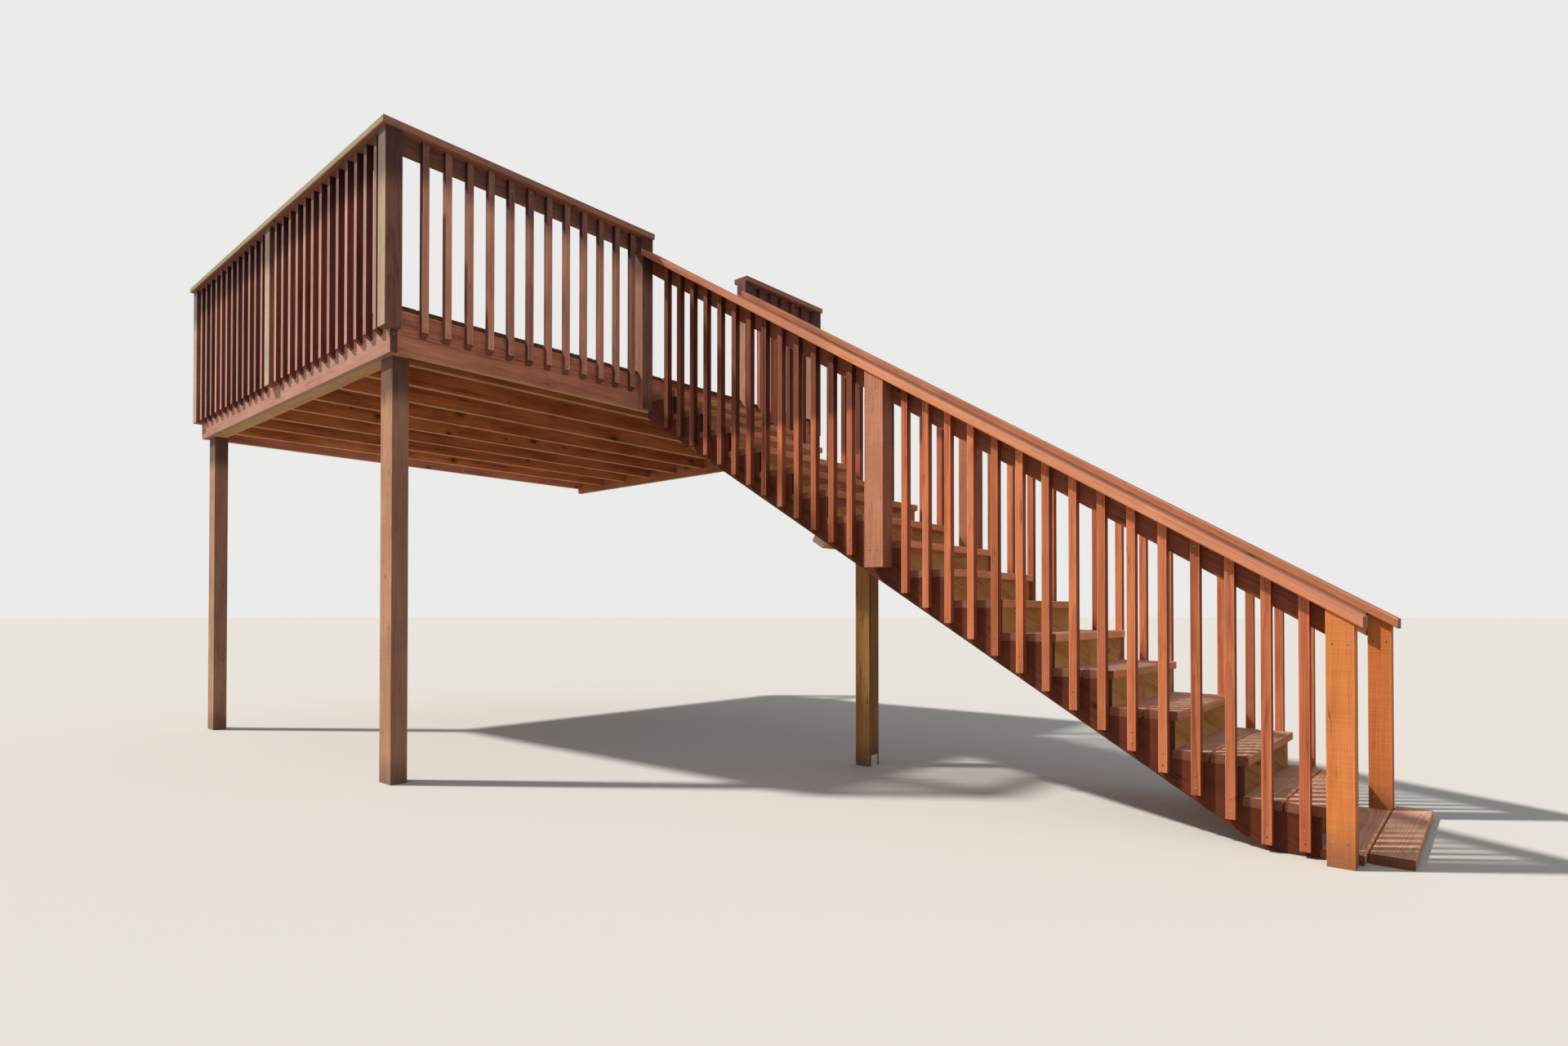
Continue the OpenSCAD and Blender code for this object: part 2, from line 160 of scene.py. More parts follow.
# %% One method that adds any node
class Graph:
    """A material's or a world's node tree, with one method that adds any node."""

    def __init__(self, tree):
        self.tree = tree
        tree.nodes.clear()

    def add(self, kind, settings=None, sockets=None, output=0):
        """Adds a node: its settings first, among them a ramp's stops, and then its sockets."""
        node = self.tree.nodes.new(kind)
        for key, value in (settings or {}).items():
            if key == "stops":
                ramp = node.color_ramp
                while len(ramp.elements) < len(value):
                    ramp.elements.new(0.5)
                for element, (place, level) in zip(ramp.elements, value):
                    element.position = place
                    element.color = (level, level, level, 1)
            else:
                setattr(node, key, value)
        for key, value in (sockets or {}).items():
            if isinstance(value, Value):
                self.tree.links.new(value.socket, node.inputs[key])
            else:
                node.inputs[key].default_value = value
        return Value(self, node.outputs[output]) if node.outputs else None

    def math(self, operation, *values):
        return self.add("ShaderNodeMath", {"operation": operation}, dict(enumerate(values)))

    def vector(self, x, y, z):
        return self.add("ShaderNodeCombineXYZ", None, {0: x, 1: y, 2: z})

    def split(self, vector):
        """The three numbers of a vector or a colour."""
        node = self.add("ShaderNodeSeparateXYZ", None, {0: vector}).socket.node
        return [Value(self, out) for out in node.outputs]

    def coordinates(self, kind="Object"):
        """The three numbers of a texture coordinate."""
        return self.split(self.add("ShaderNodeTexCoord", None, None, kind))

    def fade(self, value, low, high):
        """0 below low and 1 above high, or the other way round, with a smooth step between."""
        settings = {"interpolation_type": "SMOOTHSTEP"}
        return self.add("ShaderNodeMapRange", settings, {0: value, 1: low, 2: high})

    def noise(self, x, y, z, detail=2.0, rough=0.5):
        """Cloudy noise around 0.5 at a place whose numbers are already scaled."""
        place = self.vector(x, y, z)
        sockets = {"Vector": place, "Scale": 1.0, "Detail": detail, "Roughness": rough}
        return self.add("ShaderNodeTexNoise", None, sockets)

    def mix(self, factor, first, second, blend="MIX"):
        """Two colours mixed. A colour is three numbers or a link."""
        first, second = (c if isinstance(c, Value) else (*c, 1.0) for c in (first, second))
        settings = {"data_type": "RGBA", "blend_type": blend, "clamp_factor": True}
        return self.add("ShaderNodeMix", settings, {0: factor, 6: first, 7: second}, 2)

    def shade(self, colour, amount):
        """A colour made lighter or darker by a number."""
        settings = {"operation": "SCALE"}
        return self.add("ShaderNodeVectorMath", settings, {0: colour, "Scale": amount})


# %% A material's two ends
def new_material(name):
    """An empty material, and the graph of its nodes."""
    material = bpy.data.materials.new(name)
    material.use_nodes = True
    return material, Graph(material.node_tree)


def finish(g, colour, roughness, height, depth, easing=0.0, **fixed):
    """Joins a surface to the output. Its bump is this deep in metres, over edges that are
    shaded as if they were rounded by the easing."""
    bump = {"Height": height, "Distance": depth}
    if easing:
        bump["Normal"] = g.add("ShaderNodeBevel", {"samples": 4}, {"Radius": easing})
    sockets = {"Base Color": colour, "Roughness": roughness, **fixed}
    sockets["Normal"] = g.add("ShaderNodeBump", None, bump)
    surface = g.add("ShaderNodeBsdfPrincipled", None, sockets)
    g.add("ShaderNodeOutputMaterial", None, {"Surface": surface})


def give(node, material):
    """Puts a material in the place of the one that a CAD node came with."""
    nodes[node].data.materials.clear()
    nodes[node].data.materials.append(material)


# %% [markdown]
# ## Which board a point is in
# A row of balusters has the same step all the way, so rounding a coordinate to whole steps gives
# the board's number. Where the step changes, as on the two sides of a post, the row is cut into
# runs of equal step and the right run is chosen by comparing the coordinate with the cut.

# %% Runs of equal step
EQUAL_STEP = 0.002  # metres by which two steps of one run may differ
SAME_PLACE = 0.003  # metres within which two middles are one place in the row
SHORTEST_ROW, NO_DRIFT = 0.01, 1e-4  # metres, and metres for each metre of the row


def places_in_row(centres):
    """The sorted middles of a row of boards along one axis, each place once."""
    centres = np.sort(centres)
    return centres[np.concatenate([[True], np.diff(centres) > SAME_PLACE])].tolist()


def runs_of_equal_step(centres):
    """Cuts a sorted list of centres into (first, step, count) runs in which the step is equal."""
    runs, start = [], 0
    while start < len(centres):
        end = start + 1
        if end < len(centres):
            step = centres[end] - centres[start]
            while end < len(centres) and abs(centres[end] - centres[end - 1] - step) < EQUAL_STEP:
                end += 1
        runs.append((centres[start], step if end - start > 1 else 1.0, end - start))
        start = end
    return runs


front_row = places_in_row(middles(board_boxes(["balusters_front"]))[:, 0])
for first, step, count in runs_of_equal_step(front_row):
    print(count, "balusters from x =", round(first, 3), "every", round(step, 4), "m")

# %% Numbering boards in the shader
def number_along(g, coordinate, centres):
    """A board's number along one axis, and how far the point is from that board's middle."""
    number, local, before, cut_from = 0.0, None, 0, None
    for first, step, count in runs_of_equal_step(places_in_row(centres)):
        mine, place = float(before), coordinate - first
        if count > 1:
            along = g.math("ROUND", place / step)
            along = g.math("MINIMUM", g.math("MAXIMUM", along, 0.0), count - 1.0)
            mine, place = along + before, place - along * step
        if local is None:
            number, local = mine, place
        else:
            past = coordinate > (cut_from + first) / 2
            number = number + past * (mine - number)
            local = local + past * (place - local)
        before, cut_from = before + count, first + step * (count - 1)
    return number, local


def drift_in_row(along, across):
    """A slope and a start for the boards' middles across a row, where they drift in a straight
    line with their place along it, as on the stairs. Elsewhere the slope is 0."""
    if np.ptp(along) > SHORTEST_ROW:
        fit = np.polyfit(along, across, 1)
        if np.abs(np.polyval(fit, along) - across).max() < SAME_PLACE:
            return float(fit[0]), float(fit[1])
    return 0.0, (across.min() + across.max()) / 2


# %% [markdown]
# A pattern of wood belongs to its board, not to the world: it runs along the board, starts anew
# in the next one, and sits the same way on a raked board as on a level one. So each material
# first works out the point's place in its own board. The treads repeat up the stairs in both
# height and depth, and are first moved onto the lowest one.

# %% A point's place in its own board
STEP_APART = 7.13  # what one more step of the stairs adds to a board's number
ROW_APART, NEXT_AXIS = 3.71, 5.9  # what one more board along X adds, and how much more on Y, Z


class Boards:
    """A point's place in its own board: u along the grain, v across the wide face and w through
    the thickness, all in metres from the board's middle, and the board's number. tell names the
    axes along which the boards follow each other."""

    def __init__(self, g, names, grain, tell="", angle=0.0, stairs=None):
        self.position, self.normal = g.coordinates("Object"), g.coordinates("Normal")
        x, y, z = self.position
        facing = list(self.normal)
        if angle:
            cos, sin = math.cos(angle), math.sin(angle)
            x, z = x * cos - z * sin, x * sin + z * cos
            nx, ny, nz = self.normal
            facing = [nx * cos - nz * sin, ny, nx * sin + nz * cos]
        boxes = board_boxes(names, angle)
        number = 0.0
        if stairs:
            riser, going, lowest = stairs
            steps = g.math("FLOOR", (z - lowest) / riser)
            x, z = x + steps * going, z - steps * riser
            climbed = np.floor((middles(boxes)[:, 2] - lowest) / riser)
            boxes = boxes + climbed[:, None, None] * np.array([going, 0.0, -riser])
            number = steps * STEP_APART
        centres, place, local = middles(boxes), (x, y, z), [None, None, None]
        for axis in tell:
            i = "XYZ".index(axis)
            mine, local[i] = number_along(g, place[i], centres[:, i])
            number = number + mine * (ROW_APART + NEXT_AXIS * i)
        row = "XYZ".index(tell[0]) if tell else 0
        for i in range(3):
            if local[i] is None:
                slope, middle = drift_in_row(centres[:, row], centres[:, i])
                if abs(slope) > NO_DRIFT:
                    middle = (place[row] - local[row]) * slope + middle
                local[i] = place[i] - middle
        size = boxes[0, 1] - boxes[0, 0]
        length = "XYZ".index(grain)
        wide, thin = sorted([i for i in range(3) if i != length], key=lambda i: -size[i])
        self.count, self.number = len(boxes), number
        self.u, self.v, self.w = local[length], local[wide], local[thin]
        self.half_u, self.half_v, self.half_w = (float(size[i]) / 2 for i in (length, wide, thin))
        self.end, self.edge = abs(facing[length]), abs(facing[wide])


# %% [markdown]
# ## Wood
# Sawn softwood shows the tree's rings. A board is a slice of a cone of rings, so the distance
# from the tree's heart, divided by the width of a ring, gives arcs on the end grain, straight
# lines on one face and long arches on the other, all from one formula. An image of a plank could
# not do that: it would show the same face on every side, and repeat from board to board.

# %% What a wood can be told
LOOK = dict(
    seed=0.0,  # starts the chances of this wood's boards
    ring=0.006,  # metres from one year's ring to the next
    knots=0.6,  # how often a knot comes
    figure=0.5,  # how dark the rings are
    streaks=0.5,  # long dark streaks along the grain
    clouds=1.0,  # slow changes along a board
    variety=0.3,  # how much one board differs from the next
    cracks=0.5,  # drying cracks
    saw=0.0,  # marks of the saw across the board
    wear=0.3,  # edges that are rubbed pale
    top=0.0,  # bleaching of what faces up,
    bleach=(0.42, 0.36, 0.31),  # and its colour
    ends=None,  # colour of the end grain, or else the deep colour
    skirt=None,  # colour of the narrow edges, where they differ
    under=None,  # colour of what faces down, where it differs: painted paler, for light bounced up from the ground
    sunny=None,  # colour painted on what faces the front, as sunlight where pale and as shade where dark,
    reach=9.0,  # for a y below this
    shade=0.35,  # painted shade on the sides that face away from the key light
    sheltered=0.0,  # metres at an upright's top painted darker, as shade under its cap and the deck's frame
    upper=0.0,  # darkening towards the top of the flight
    splash=0.0,  # mud at the foot
)
print("a wood can be told", len(LOOK), "things besides its two colours")

# %% [markdown]
# ### The grain
# All of a board's patterns are noise that is stretched along the grain: fibres are hair-thin and
# a few centimetres long, streaks wider and longer, and the saw's marks lie across. One white
# noise of the board's number gives three chances, which slide the patterns, place the heart of
# the tree and choose the tint, so that no two boards are alike.

# %% Fibres, streaks and cracks
SLIDE = 40.0  # blots by which chance slides a board's patterns along it, at most
MOTTLE = 5.0  # blots in a metre of the patches that go straight through all boards


def grain_of(g, b, look):
    """The stretched noises of a board, and its three chances between 0 and 1."""
    board = {"W": b.number + look.seed + 0.5}
    chance = g.add("ShaderNodeTexWhiteNoise", {"noise_dimensions": "1D"}, board, 1)
    one, two, three = g.split(chance)
    slide = one * SLIDE + look.seed

    def noise(along, across, detail=2.0, rough=0.5):
        """Noise with so many blots in a metre along the board and across it."""
        return g.noise(b.u * along + slide, b.v * across, b.w * across, detail, rough)

    line, where = abs(noise(2.0, 70.0) - 0.5), noise(4.0, 18.0, 1.0)
    opened = g.fade(where, 0.66 - 0.16 * look.cracks, 0.80 - 0.16 * look.cracks)
    x, y, z = b.position
    return SimpleNamespace(
        one=one, two=two, three=three,
        wander=noise(1.3, 4.0) - 0.5,
        ripple=noise(7.0, 22.0) - 0.5,
        fibre=noise(11.0, 420.0, 3.0, 0.6),
        coarse=noise(3.2, 95.0, 3.0, 0.6),
        streak=g.fade(noise(0.8, 30.0, 4.0, 0.6), 0.50, 0.74),
        cloud=noise(2.1, 9.0, 3.0, 0.55),
        across=noise(150.0, 7.0, 2.0, 0.6) - 0.5,
        mottle=g.noise(x * MOTTLE, y * MOTTLE, z * MOTTLE, 4.0, 0.6),
        crack=g.fade(line, 0.014, 0.004) * opened,
    )


# %% [markdown]
# ### Knots and rings
# A knot is a branch that the board cuts across: a dark round with fine rings of its own, and the
# year's rings flow round it. Knots could be placed one by one, but a Voronoi pattern scatters
# them for any board, and the distance to each one also says where the rings are pushed aside.

# %% Knots
KNOTS_LONG, KNOTS_WIDE = 1.7, 6.0  # places for a knot in a metre along and across the board
ALONG_BY, ACROSS_BY = 31.0, 17.0  # how far chance moves the pattern from board to board
KNOT_SIZE, KNOT_RING = 0.034, 0.0035  # metres: how much luck widens one, and its own rings
SMALLEST, NEVER_ZERO = 0.002, 0.0001  # metres
LONGER, UNEVEN = 0.55, 0.0002  # a knot's stretch along the grain, and the bends in its outline


def knots_in(g, b, grain, amount):
    """Round knots scattered over the wide face. Returns the knots, the dark rings inside them, a
    halo around them and their size. Each cell of a Voronoi pattern holds one knot or none, and
    the distance to it is measured back in metres."""
    ku = b.u * KNOTS_LONG + grain.two * ALONG_BY
    kv = b.v * KNOTS_WIDE + grain.three * ACROSS_BY + 0.35
    cell = g.add("ShaderNodeTexVoronoi", {"voronoi_dimensions": "2D"},
                 {"Vector": g.vector(ku, kv, 0.0), "Scale": 1.0}).socket.node
    near_u, near_v, _ = g.split(Value(g, cell.outputs["Position"]))
    luck = g.split(Value(g, cell.outputs["Color"]))[0]
    du, dv = (ku - near_u) / KNOTS_LONG, (kv - near_v) / KNOTS_WIDE
    size = g.math("MAXIMUM", luck - (1.0 - 0.55 * amount), 0.0) * KNOT_SIZE + NEVER_ZERO
    apart = g.math("SQRT", du * du * LONGER + dv * dv + grain.ripple * grain.ripple * UNEVEN)
    real = size > SMALLEST
    knot = g.fade(apart / size, 1.05, 0.80) * real
    halo = g.fade(apart / size, 2.8, 0.9) * real
    inner = g.fade(g.math("FRACT", apart / KNOT_RING), 0.2, 0.9)
    return knot, inner, halo, size


print("one knot at most in each", round(100 / KNOTS_LONG), "by", round(100 / KNOTS_WIDE), "cm")

# %% Rings
YEAR = (0.0, 0.55), (0.06, 0.0), (0.45, 0.12), (0.80, 0.6), (0.93, 1.0), (1.0, 0.55)
HEART_ASIDE, HEART_NEAR, HEART_FAR = 0.16, 0.035, 0.10  # metres from board to heart of tree
BENT_ASIDE, BENT_AWAY = 0.030, 0.014  # metres by which the heart wanders along a board
TAPER, MORE_TAPER = 0.004, 0.012  # how fast a trunk thins, and what luck adds to it
RIPPLED, WANDERED = 0.0035, 0.010  # metres by which the rings themselves are bent


def rings_in(g, b, grain, push, ring):
    """How late in its year the wood is at a point, from 0 in pale spring wood to 1 in the dark
    line that ends a year. The distance from the heart of the tree grows along the board, because
    a trunk tapers."""
    rv = b.v - (grain.two - 0.5) * HEART_ASIDE + grain.wander * BENT_ASIDE
    rw = b.w + HEART_NEAR + grain.three * HEART_FAR + grain.wander * BENT_AWAY
    radius = g.math("SQRT", rv * rv + rw * rw) + b.u * (TAPER + grain.three * MORE_TAPER)
    grown = radius + grain.ripple * RIPPLED + push + grain.wander * WANDERED
    year = g.math("FRACT", grown / ring)
    return g.add("ShaderNodeValToRGB", {"stops": YEAR}, {0: year})


# %% [markdown]
# ### What the weather does, and painted light and shade
# Stained wood ages by its place. What faces up is bleached grey, end grain drinks the stain and
# goes dark, and edges are rubbed pale. Other layers are painted light and shade: the sides turned
# away from the key are painted darker, front faces are painted paler as sunlight or darker as
# shade, undersides are painted paler for light bounced up from the ground, and the tops of
# uprights under a cap or the frame are painted darker. The flight also darkens towards its top.
# Each of these is one layer over the sawn wood: a mask from the surface's normal or from the
# place in the board, and a colour. A generator hands them over from the lowest up, and only
# those that this wood has been told of.

# %% Layers over the sawn wood
MUD = (0.10, 0.08, 0.065)
UPPER_DARKENING = (0.60, 0.50, 0.58)  # these three multiply the colour below them
# painted shade at the top of an upright, under its cap or the deck's frame
TOP_SHADE_COLOUR = (0.25, 0.23, 0.31)
# painted shade on the sides away from the key light
SIDE_SHADE_COLOUR = (0.30, 0.24, 0.33)
MUD_FROM, MUD_FULL = GROUND + 0.26, GROUND + 0.06
UPPER_FROM, UPPER_FULL = 4.3, 2.2  # along the flight, in metres


def darker(colour, amount):
    return tuple(c * amount for c in colour)


def faces(g, b, look, grain, stain_and_painted_light):
    """Layers that depend on which way a face looks."""
    cloud, mottle, up, front = grain.cloud, grain.mottle, b.normal[2], b.normal[1]
    if look.skirt:
        yield g.fade(b.edge, 0.5, 0.8) * (0.55 + cloud * 0.6), stain_and_painted_light(look.skirt, 0.55)
    # painted light: undersides are painted paler, for light bounced up from the ground
    if look.under:
        sawn_end = g.fade(b.end, 0.6, 0.8)
        yield g.fade(up, -0.55, -0.85) * 0.85 * (1.0 - sawn_end), stain_and_painted_light(look.under, 0.6)
    if look.top:
        worn = g.fade(cloud * 0.5 + mottle * 0.6 + grain.fibre * 0.12, 0.44, 0.72)
        grey = g.mix(grain.late * 0.6 + grain.crack, look.bleach, darker(look.bleach, 0.45))
        strength = g.fade(up, 0.55, 0.85) * (0.35 + worn * 0.65) * look.top
        yield strength, g.shade(grey, 0.75 + grain.coarse * 0.5)
    # painted light and shade: front faces are painted paler as sunlight, or darker as shade, as
    # each wood is told
    if look.sunny:
        lit = g.fade(front, -0.5, -0.9) * (0.5 + cloud * 0.7)
        yield lit * (b.position[1] < look.reach), stain_and_painted_light(look.sunny, 0.5)


def edges_and_ends(g, b, look, grain, pale, deep, dark):
    """Layers on the long edges, which shoes and hands rub, and on the sawn ends."""
    away = (b.half_v - abs(b.v)) + (b.half_w - abs(b.w))
    arris = g.fade(away + (grain.coarse - 0.5) * 0.006, 0.006, 0.0015) * (b.end < 0.5)
    yield arris * look.wear, tuple(min(1.0, c * 1.25 + 0.03) for c in pale)
    end_grain = g.mix(grain.late, look.ends or deep, dark)
    yield g.fade(b.end, 0.6, 0.8) * 0.8, g.shade(end_grain, 0.7 + grain.cloud * 0.5)


def darkening_and_painted_shade(g, b, look, grain):
    """Layers that multiply what is below them: a darkening towards the top of the flight, and
    painted shade at an upright's top and on the sides away from the key light.
    """
    x, mottle = b.position[0], grain.mottle
    # darker towards the top of the flight
    if look.upper:
        yield g.fade(x + mottle, UPPER_FROM, UPPER_FULL) * look.upper, UPPER_DARKENING
    # painted shade: the top of an upright is darker, under its cap and the deck's frame
    if look.sheltered:
        low, full = b.half_u - look.sheltered, b.half_u - look.sheltered * 0.45
        yield g.fade(b.u + mottle * 0.06, low, full) * 0.8, TOP_SHADE_COLOUR
    # painted shade: the sides that face away from the key light are darker
    sunless = g.fade(b.normal[0] * 0.9 + b.normal[1] * 0.5, 0.15, 0.6)
    yield sunless * look.shade, SIDE_SHADE_COLOUR


# %% [markdown]
# ### The recipe
# Sawn wood runs from a pale to a deep colour by one tone, which the rings, fibres, streaks and
# patches all add to. The layers go over it, and the same patterns raise and lower the surface by
# about a millimetre. One recipe serves every board, and only its numbers change.

# %% The wood recipe
RELIEF, EASING = 0.0011, 0.003  # metres: the depth of the grain, and how round an edge looks


def wood(names, along, tell, pale, deep, angle=0.0, stairs=None, **told):
    """Gives some nodes one wood, from a pale and a deep colour. Their boards run along an axis,
    follow each other along the axes in tell, and may be raked by an angle or climb as stairs."""
    look = SimpleNamespace(**dict(LOOK, **told))
    material, g = new_material("wood_" + names[0])
    b = Boards(g, names, along, tell, angle, stairs)
    grain = grain_of(g, b, look)
    knot, inner, halo, size = knots_in(g, b, grain, look.knots)
    late = rings_in(g, b, grain, halo * size * 1.2, look.ring) * (1.0 - knot)
    grain.late = late
    fibre, coarse, crack = grain.fibre, grain.coarse, grain.crack

    tone = late * look.figure + (coarse - 0.5) * 0.9 + (fibre - 0.5) * 0.5
    tone = tone + (grain.cloud - 0.5) * look.clouds + grain.streak * look.streaks
    tone = tone + (grain.two - 0.5) * 0.5 + grain.across * look.saw + 0.25
    level = 1.0 - look.variety / 2 + grain.one * look.variety
    level = level * (0.80 + grain.mottle * 0.40)

    def stain_and_painted_light(stain, depth):
        """The same grain in another colour: a stain, and also painted light and shade."""
        return g.shade(g.mix(tone, stain, darker(stain, depth)), level)

    dark = darker(deep, 0.22)
    colour = g.shade(g.mix(tone, pale, deep), level)
    colour = g.mix(halo * 0.55, colour, darker(deep, 0.75))
    colour = g.mix(knot * (0.62 + inner * 0.25), colour, dark)
    colour = g.mix(crack * 0.85, colour, dark)
    for mask, layer in faces(g, b, look, grain, stain_and_painted_light):
        colour = g.mix(mask, colour, layer)
    for mask, layer in edges_and_ends(g, b, look, grain, pale, deep, dark):
        colour = g.mix(mask, colour, layer)
    if look.splash:
        wet = g.fade(b.position[2] + grain.mottle * 0.12, MUD_FROM, MUD_FULL)
        colour = g.mix(wet * look.splash, colour, MUD)
    # the darkening towards the top of the flight and the painted shade multiply the colour
    for mask, layer in darkening_and_painted_shade(g, b, look, grain):
        colour = g.mix(mask, colour, layer, "MULTIPLY")

    height = late * 0.35 + fibre * 0.35 + coarse * 0.4 - crack * 1.4 + knot * 0.25
    height = height + grain.across * (look.saw * 1.2 + 0.2)
    rough = 0.66 + fibre * 0.20 - late * 0.08 + crack * 0.1
    finish(g, colour, rough, height, RELIEF, EASING, **{"Specular IOR Level": 0.15})
    for name in names:
        give(name, material)
    print(material.name, "boards:", b.count, "shader nodes:", len(g.tree.nodes))


# %% [markdown]
# ## The finishes
# The same recipe now runs with different numbers. A raked board needs its own angle, so the
# slope of the flight is measured from two treads, and that of its handrail from the board below
# the cap.

# %% Slopes
def fall_of(node):
    """The angle of a raked board: the fall of its top edge over its run."""
    points, _ = node_arrays(node)
    top = points[points[:, 0] < points[:, 0].min() + 0.001][:, 2].max()
    foot = points[points[:, 0] > points[:, 0].max() - 0.001][:, 2].max()
    return math.atan2(top - foot, np.ptp(points[:, 0]))


TREADS = sorted(n for n in nodes if n.startswith("tread_"))
lower_step, upper_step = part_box("tread_02"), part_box("tread_03")
GOING = lower_step[0][0] - upper_step[0][0]
RISER = upper_step[0][2] - lower_step[0][2]
SLOPE, RAKE = math.atan2(RISER, GOING), fall_of("sub_rails_flight")
print("slope", round(math.degrees(SLOPE), 2), "rake", round(math.degrees(RAKE), 2))

# %% [markdown]
# ### Balusters
# The railings wear an orange-red transparent stain, redder and duller up on the deck than on the
# flight. In front, the outer faces are painted lighter as sunlight, and the sides are painted
# darker as shade. On the deck's right the sides that look out are pale, and the faces that look
# forward are painted dark as shade. The top of each baluster is painted darker, as shade under
# its cap.

# %% Balusters
# The sides away from the key are painted darker as shade, and the tops darker as shade under the
# cap. sunny paints the deck's front faces paler as sunlight, and the right rail's front faces dark
# as shade.
RAIL = dict(pale=(0.70, 0.235, 0.10), deep=(0.36, 0.085, 0.04), ends=(0.13, 0.042, 0.03),
            knots=0.35, figure=0.4, variety=0.4, streaks=0.6, shade=0.75, sheltered=0.14)
DECK_RAIL = dict(RAIL, pale=(0.58, 0.22, 0.155), deep=(0.30, 0.072, 0.058),
                 sunny=(0.66, 0.40, 0.26), shade=1.0, sheltered=0.26)
RIGHT_RAIL = dict(DECK_RAIL, pale=(0.72, 0.36, 0.24), deep=(0.40, 0.15, 0.10),
                  sunny=(0.20, 0.075, 0.055), shade=0.0)
SHORT_RAIL = dict(DECK_RAIL, sunny=None, shade=0.5)

wood(["balusters_front"], "Z", "X", seed=10, **DECK_RAIL)
wood(["balusters_left"], "Z", "Y", seed=20, **DECK_RAIL)
wood(["balusters_right"], "Z", "Y", seed=30, **RIGHT_RAIL)
wood(["balusters_short"], "Z", "Y", seed=40, **SHORT_RAIL)
wood(["balusters_near"], "Z", "X", seed=50, upper=0.35, **RAIL)
wood(["balusters_far"], "Z", "X", seed=60, upper=0.35, **RAIL)

# %% [markdown]
# ### Posts of the railings
# The posts are thicker timber and look it. The newels at the foot are the brightest, with the
# saw's marks still on them, and the deck's posts have cracked as thick timber does when it
# dries. All are painted darker as shade on the sides away from the key. Only those along the
# front edge get painted sunlight on their front faces, so it has a reach, and their tops are
# painted darker as shade under the cap.

# %% Posts of the railings
FRONT_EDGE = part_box("front_fascia")[0][1] + 0.3

wood(["newels"], "Z", "Y", (0.92, 0.31, 0.09), (0.57, 0.15, 0.042), seed=3.0, knots=0.5,
     figure=0.28, streaks=0.35, clouds=1.3, cracks=0.1, saw=0.5, shade=0.3, splash=0.5)
wood(["flight_posts"], "Z", "Y", (0.64, 0.29, 0.165), (0.38, 0.14, 0.08), seed=5.0, knots=0.6,
     figure=0.3, streaks=0.25, saw=0.45, shade=0.55)
wood(["rail_posts"], "Z", "XY", (0.54, 0.28, 0.19), (0.27, 0.115, 0.08), seed=21.0, knots=0.45,
     streaks=0.5, cracks=0.8, saw=0.3, shade=0.65, sheltered=0.3, sunny=(0.68, 0.52, 0.37),
     reach=FRONT_EDGE)

# %% [markdown]
# ### Caps and sub-rails
# A cap is a flat board on the posts. Hands and rain take the stain off its top, and its narrow
# edges go yellow-green in front. The sub-rail stands below it and is given a darker colour, which
# is painted shade from the cap above.

# %% Caps and sub-rails
wood(["cap_front"], "X", "", (0.44, 0.19, 0.12), (0.23, 0.085, 0.06), seed=22.0, top=0.75,
     bleach=(0.38, 0.33, 0.24), skirt=(0.52, 0.47, 0.27))
wood(["caps_side"], "Y", "X", (0.50, 0.21, 0.135), (0.26, 0.09, 0.06), seed=23.0, top=0.6,
     bleach=(0.40, 0.29, 0.22), skirt=(0.46, 0.225, 0.15), shade=0.0)
wood(["caps_flight"], "X", "Y", (0.80, 0.32, 0.165), (0.46, 0.155, 0.08), seed=24.0, knots=0.5,
     top=0.5, upper=0.7, bleach=(0.50, 0.33, 0.26), angle=RAKE)
# the sub-rails' dark colours are painted shade from the caps above
wood(["sub_rails_flight"], "X", "Y", (0.40, 0.14, 0.075), (0.19, 0.055, 0.03), seed=25.0,
     angle=RAKE)
wood(["sub_rails_front"], "X", "X", (0.36, 0.13, 0.085), (0.17, 0.055, 0.035), seed=26.0)
wood(["sub_rails_side"], "Y", "X", (0.36, 0.17, 0.13), (0.17, 0.075, 0.06), seed=28.0, shade=0.3)

# %% [markdown]
# ### The deck's frame
# Joists, beam and ledger are wide boards of fast-grown pine with big knots. Their undersides, and
# those of the side rims, are painted paler, standing in for light bounced up from the ground.

# %% The deck's frame
# painted light: a paler colour for undersides, standing in for light bounced up from the ground
BOUNCE_UNDERSIDE = (0.66, 0.38, 0.17)
FRAME = dict(pale=(0.76, 0.275, 0.105), deep=(0.32, 0.085, 0.028), under=BOUNCE_UNDERSIDE, knots=1.45,
             ring=0.008, figure=0.3, variety=0.45, clouds=2.0, shade=0.0)
LEDGER = dict(FRAME, pale=(0.66, 0.28, 0.115), deep=(0.38, 0.125, 0.045))

wood(["joists"], "Y", "X", seed=11.0, **FRAME)
wood(["front_beam"], "X", "Y", seed=12.0, **FRAME)
wood(["ledger"], "X", "", seed=14.0, **LEDGER)
wood(["side_rims"], "Y", "X", (0.68, 0.29, 0.185), (0.34, 0.11, 0.07), seed=6.0, knots=0.9,
     ring=0.007, figure=0.3, clouds=1.5, saw=0.2, under=BOUNCE_UNDERSIDE, shade=0.0)

# %% [markdown]
# ### Fascia, deck posts and decking
# The long board along the front has weathered to a pale pink-brown, and its underside is painted
# paler for light bounced up from the ground. The posts that carry the deck are painted darkest
# right under it, as shade from the frame, and are muddy at the foot. The decking is grey-brown on
# top, with its underside painted paler for bounced light.

# %% Fascia, deck posts and decking
wood(["front_fascia"], "X", "", (0.61, 0.33, 0.26), (0.36, 0.15, 0.11), seed=2.0, knots=0.8,
     ring=0.008, streaks=0.3, saw=0.3, under=(0.45, 0.27, 0.17), shade=0.7)
